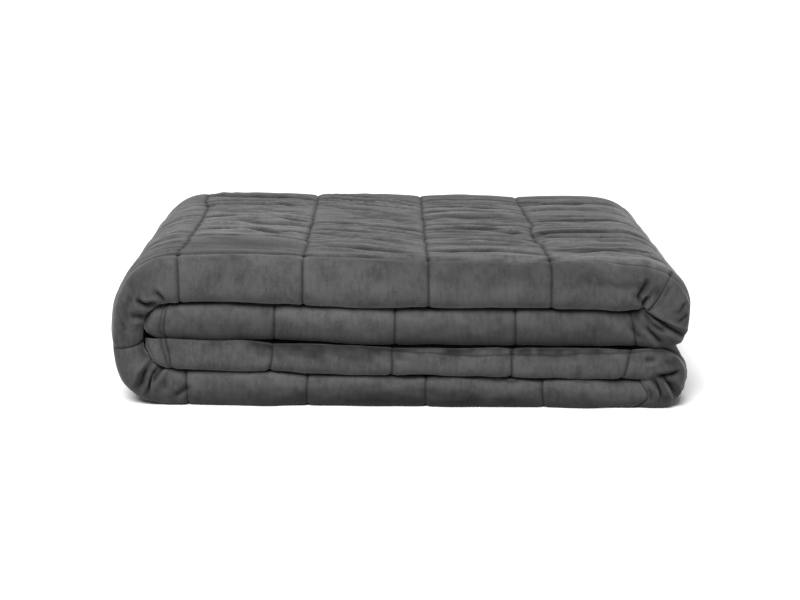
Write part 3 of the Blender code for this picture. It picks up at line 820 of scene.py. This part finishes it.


# Lighter and darker patches of tone: along, across, reach both ways, and the change in tone.
# Some are the nap's uneven tone; many are painted shade and painted light, noted below.
toneAndPaintedLightPatches = [
    # painted shade on the second layer's lower part, painted light on its upper edge, tone between
    (215, 397, 240, 18, -0.50),         # lower part of the second layer
    (215, 366, 220, 10, 0.22),
    (60, 380, 50, 12, -0.12),
    (165, 378, 45, 12, 0.28),
    (355, 378, 50, 30, -0.20),
    (215, 378, 240, 30, -0.20),
    # painted shade on the third layer's upper part, under the second; a lighter middle
    (1730, 411, 200, 8.5, -1.30),       # upper part of the third
    (1855, 399, 90, 8, -0.40),
    (1720, 378, 220, 16, 0.38),
    # painted shade in the crevices inside the left and upper right bends
    (1035, 357, 50, 6, -0.80),          # inside of the left bend
    (517, 358.5, 9, 6, -0.80),
    (416, 364, 14, 10, -0.90),          # and of the upper right one
    # painted shade on the lowest layer's lower part and on its shoulder under the third, painted
    # light above
    (1300, 402, 240, 20, -0.95),        # lower part of the lowest
    (1300, 367, 240, 10, 0.26),
    (1300, 378, 240, 30, -0.16),
    (1380, 366.2, 120, 4.5, -0.95),
    # painted shade under the topmost layer's edge and in the upper right crevice
    (270, 361, 120, 5.5, -0.42),
    (404, 360, 14, 6, -0.80),
    # painted shade on the third layer's upper part near its end; a lighter lower part
    (1900, 396, 90, 13, -0.58),
    (1900, 362, 90, 9, 0.38),
    (1770, 360, 140, 6, 0.42),
    (1060, 385, 60, 60, -0.20),         # lower left and lower right bends
    (1530, 385, 70, 60, -0.24),
    (700, 370, 240, 14, 0.22),          # the topmost layer's front
    (700, 359, 240, 6, 0.46),
    # painted shade over the topmost layer's upper edge
    (760, 399, 140, 9, -0.38),
    (620, 390, 80, 10, -0.20),
    (888, 392, 30, 6, -0.45),           # dark corner of the first pocket
    (860, 393, 20, 4, -0.20),
    (860, 440, 70, 42, -0.58),
    (757, 560, 45, 200, -0.14),
    (700, 740, 250, 35, -0.36),
    (850, 560, 60, 60, 0.12),
    (850, 720, 60, 60, -0.25),
    (635, 560, 110, 200, -0.24),
    # painted highlight on the roll behind the top edge
    (590, 408, 110, 5, 0.60),           # roll behind the top edge
    (760, 408, 50, 3, 0.30),
    (945, 384, 18, 7, -0.30),           # left bend
    (980, 386, 16, 6, -0.30),
    (550, 388, 30, 7, -0.34),           # right of the topmost layer's front
    (525, 386, 16, 6, -0.26),
    (470, 380, 30, 30, -0.12),
]
# Tone of the nap, with painted shade and painted light in creases, seams, wrinkles and at the
# cloth's end.
napAndPaintedLight = {
    "creases": 0.95,            # painted shade down in the creases: how much darker it is
    "seams": (0.85, 0.4), "seamWidth": (0.0022, 0.0013),    # and painted shade in the seams' grooves, with the stitching's darker line, on top and in front
    "wrinkles": 480.0, "wrinkleLightRange": (0.25, 1.5),         # painted light on the wrinkles' lips and painted shade in their valleys: change in tone to a metre's height
    "hemLine": (0.5, 0.0010), "endShade": (0.9, 0.0024),      # darkness and width of the hem's second line, and of the painted shade over the cloth's very end
    "shift": (0.020, 0.0035), "size": (0.016, 0.010),       # how uneven the patches' edges are
    "range": (0.1, 2.6),
}


# The nap's uneven tone, with the patches' painted light and painted shade, the hem's second line
# and painted shade on the cloth's end.
def napToneAndPaintedLight(along, across):
    tone = np.ones_like(along)
    a, b = along / napAndPaintedLight["size"][0], across / napAndPaintedLight["size"][1]
    u = along + napAndPaintedLight["shift"][0] * softNoise(a, b, 51)
    v = across + napAndPaintedLight["shift"][1] * (softNoise(a, b, 52) + softNoise(a * 2.7, b * 2.7, 53))
    for *spot, change in toneAndPaintedLightPatches:
        tone += change * patch(u, v, spot)
    fromEnd = np.minimum(along, clothLength - along)
    secondLine = fromEnd - cloth["hem"] + quilting["hemLine"]
    # the hem's second line of stitching, and painted shade over the lit end of the cloth
    for gap, (dark, width) in ((secondLine, napAndPaintedLight["hemLine"]), (fromEnd, napAndPaintedLight["endShade"])):
        tone *= 1.0 - dark * np.exp(-(gap / width) ** 2)
    return np.clip(tone, *napAndPaintedLight["range"])


# The colour layer of tone: the nap's own, with painted light and painted shade in creases, seams
# and wrinkles.
def addNapAndPaintedLight(mesh, along, across, shade, wrinkled):
    layer = mesh.color_attributes.new(name="napAndPaintedLight", type="FLOAT_COLOR", domain="POINT")
    onTop = (across > noseEnd) & (across < backStart)
    gap = seamDistance(strayed(along, across)[0], seamsAlong)
    # the seams' stitching line, and painted shade in their grooves
    seamShadeMask = np.exp(-(gap / np.where(onTop, *napAndPaintedLight["seamWidth"])) ** 2)
    # painted shade in the creases
    tone = napToneAndPaintedLight(along, across) * (1.0 - napAndPaintedLight["creases"] * shade)
    # painted light on the wrinkles' lips, painted shade in their valleys
    tone *= np.clip(1.0 + napAndPaintedLight["wrinkles"] * wrinkled, *napAndPaintedLight["wrinkleLightRange"])
    # painted shade in the seam grooves, with the stitching's own line
    tone *= 1.0 - np.where(onTop, *napAndPaintedLight["seams"]) * seamShadeMask
    layer.data.foreach_set("color", np.column_stack([tone, tone, tone, np.ones_like(tone)])
                           .astype(np.float32).ravel())


def addSheetMap(mesh, along, across):
    # Cloth coordinates for the material, one unit to a pocket with the seams at whole numbers.
    layer = mesh.uv_layers.new(name="cloth")
    loops = np.empty(len(mesh.loops), dtype=np.int32)
    mesh.loops.foreach_get("vertex_index", loops)
    beyond = np.minimum(along - seamsAlong[0], 0) + np.maximum(along - seamsAlong[-1], 0)
    grid = np.column_stack([pocketPlace(along, seamsAlong) + beyond / cloth["pitchAlong"],
                            across / cloth["pitchAcross"]])
    layer.data.foreach_set("uv", grid[loops].astype(np.float32).ravel())


plush = {
    "dark": (0.017, 0.017, 0.0173), "light": (0.036, 0.036, 0.0367), "ramp": (0.40, 0.60),
    "roughness": 0.88, "gloss": 0.15,
    "sheen": 0.24, "sheenRoughness": 0.42, "sheenTint": (0.50, 0.50, 0.506),
    "paintedSheen": 0.74, "paintedSheenPower": 2.0,       # painted sheen: how much paler the base colour is made from the side
    "stitch": 0.014, "stitchShare": 0.75,   # half width of a seam's dark line, in pockets
    "stitchTint": (0.30, 0.30, 0.31, 1.0),
    "brushing": (1.0, 0.6, 0.35),           # the nap is drawn out downwards and backwards
    # patterns: to a metre, detail, share in the colour
    "brushed": (48.0, 4.0, 0.40), "mottled": (300.0, 3.0, 0.30), "fibres": (2400.0, 2.0, 0.38),
    "bump": 0.25, "bumpHeight": 0.0004, "bumpMottled": 1.2,
}


def makePlush(look):
    material = bpy.data.materials.new("grey plush")
    material.use_nodes = True
    nodes, links = material.node_tree.nodes, material.node_tree.links
    shader = nodes["Principled BSDF"]
    shader.inputs["Roughness"].default_value = look["roughness"]
    shader.inputs["Specular IOR Level"].default_value = look["gloss"]
    shader.inputs["Sheen Weight"].default_value = look["sheen"]
    shader.inputs["Sheen Roughness"].default_value = look["sheenRoughness"]
    shader.inputs["Sheen Tint"].default_value = look["sheenTint"] + (1.0,)

    def feed(socket, value):
        if isinstance(value, bpy.types.NodeSocket):
            links.new(value, socket)
        else:
            socket.default_value = value

    def calc(operation, *values):
        node = nodes.new("ShaderNodeMath")
        node.operation = operation
        for socket, value in zip(node.inputs, values):
            feed(socket, value)
        return node.outputs[0]

    def multiplied(colour, tint, share):
        mix = nodes.new("ShaderNodeMix")
        mix.data_type, mix.blend_type = "RGBA", "MULTIPLY"
        for name, value in (("Factor", share), ("A", colour), ("B", tint)):
            feed(mix.inputs[name], value)
        return mix.outputs["Result"]

    inPlace = nodes.new("ShaderNodeTexCoord").outputs["Object"]
    brushing = nodes.new("ShaderNodeMapping")
    feed(brushing.inputs["Scale"], look["brushing"])
    feed(brushing.inputs["Vector"], inPlace)
    pattern = {}
    for name, vector in (("brushed", inPlace), ("mottled", brushing.outputs["Vector"]),
                         ("fibres", brushing.outputs["Vector"])):
        texture = nodes.new("ShaderNodeTexNoise")
        texture.name = name
        feed(texture.inputs["Scale"], look[name][0])
        feed(texture.inputs["Detail"], look[name][1])
        feed(texture.inputs["Vector"], vector)
        pattern[name] = texture.outputs["Fac"]
    shares = [calc("MULTIPLY", pattern[name], look[name][2]) for name in pattern]
    ramp = nodes.new("ShaderNodeValToRGB")
    for element, position, colour in zip(ramp.color_ramp.elements, look["ramp"],
                                         (look["dark"], look["light"])):
        element.position, element.color = position, colour + (1.0,)
    feed(ramp.inputs["Fac"], calc("ADD", shares[0], calc("ADD", shares[1], shares[2])))

    sheetMap = nodes.new("ShaderNodeUVMap")
    sheetMap.uv_map = "cloth"
    split = nodes.new("ShaderNodeSeparateXYZ")
    feed(split.inputs["Vector"], sheetMap.outputs["UV"])
    gaps = []
    for axis in ("X", "Y"):
        part = calc("FRACT", split.outputs[axis])
        gaps.append(calc("MINIMUM", part, calc("SUBTRACT", 1.0, part)))
    offStitch = calc("MINIMUM", calc("DIVIDE", calc("MINIMUM", *gaps), look["stitch"]), 1.0)
    onStitch = calc("MULTIPLY", calc("SUBTRACT", 1.0, offStitch), look["stitchShare"])
    # this colour layer carries painted light and painted shade as well as the nap's tone
    napAndPaintedLightLayer = nodes.new("ShaderNodeVertexColor")
    napAndPaintedLightLayer.layer_name = "napAndPaintedLight"
    colour = multiplied(ramp.outputs["Color"], look["stitchTint"], onStitch)
    colour = multiplied(colour, napAndPaintedLightLayer.outputs["Color"], 1.0)

    grazing = nodes.new("ShaderNodeLayerWeight")    # painted sheen: the base colour is made paler from the side
    grazing.inputs["Blend"].default_value = 0.5
    paintedSheenShare = calc("POWER", grazing.outputs["Facing"], look["paintedSheenPower"])
    paintedSheenColour = nodes.new("ShaderNodeVectorMath")
    paintedSheenColour.operation = "SCALE"
    feed(paintedSheenColour.inputs[0], colour)
    feed(paintedSheenColour.inputs["Scale"], calc("ADD", 1.0, calc("MULTIPLY", paintedSheenShare, look["paintedSheen"])))
    feed(shader.inputs["Base Color"], paintedSheenColour.outputs["Vector"])

    bump = nodes.new("ShaderNodeBump")
    feed(bump.inputs["Strength"], look["bump"])
    feed(bump.inputs["Distance"], look["bumpHeight"])
    feed(bump.inputs["Height"], calc("ADD", pattern["fibres"],
                                     calc("MULTIPLY", pattern["mottled"], look["bumpMottled"])))
    feed(shader.inputs["Normal"], bump.outputs["Normal"])
    return material


makeCamera(cameraView)
makeFloor(floorLook)
makeLight(studio)
print("camera, floor and light ready")

blanket = makeBlanket()
print("blanket folded and quilted:", len(blanket.data.vertices), "points")
blanket.data.materials.append(makePlush(plush))
print("plush ready")
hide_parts("blanket")
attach(blanket, "root")
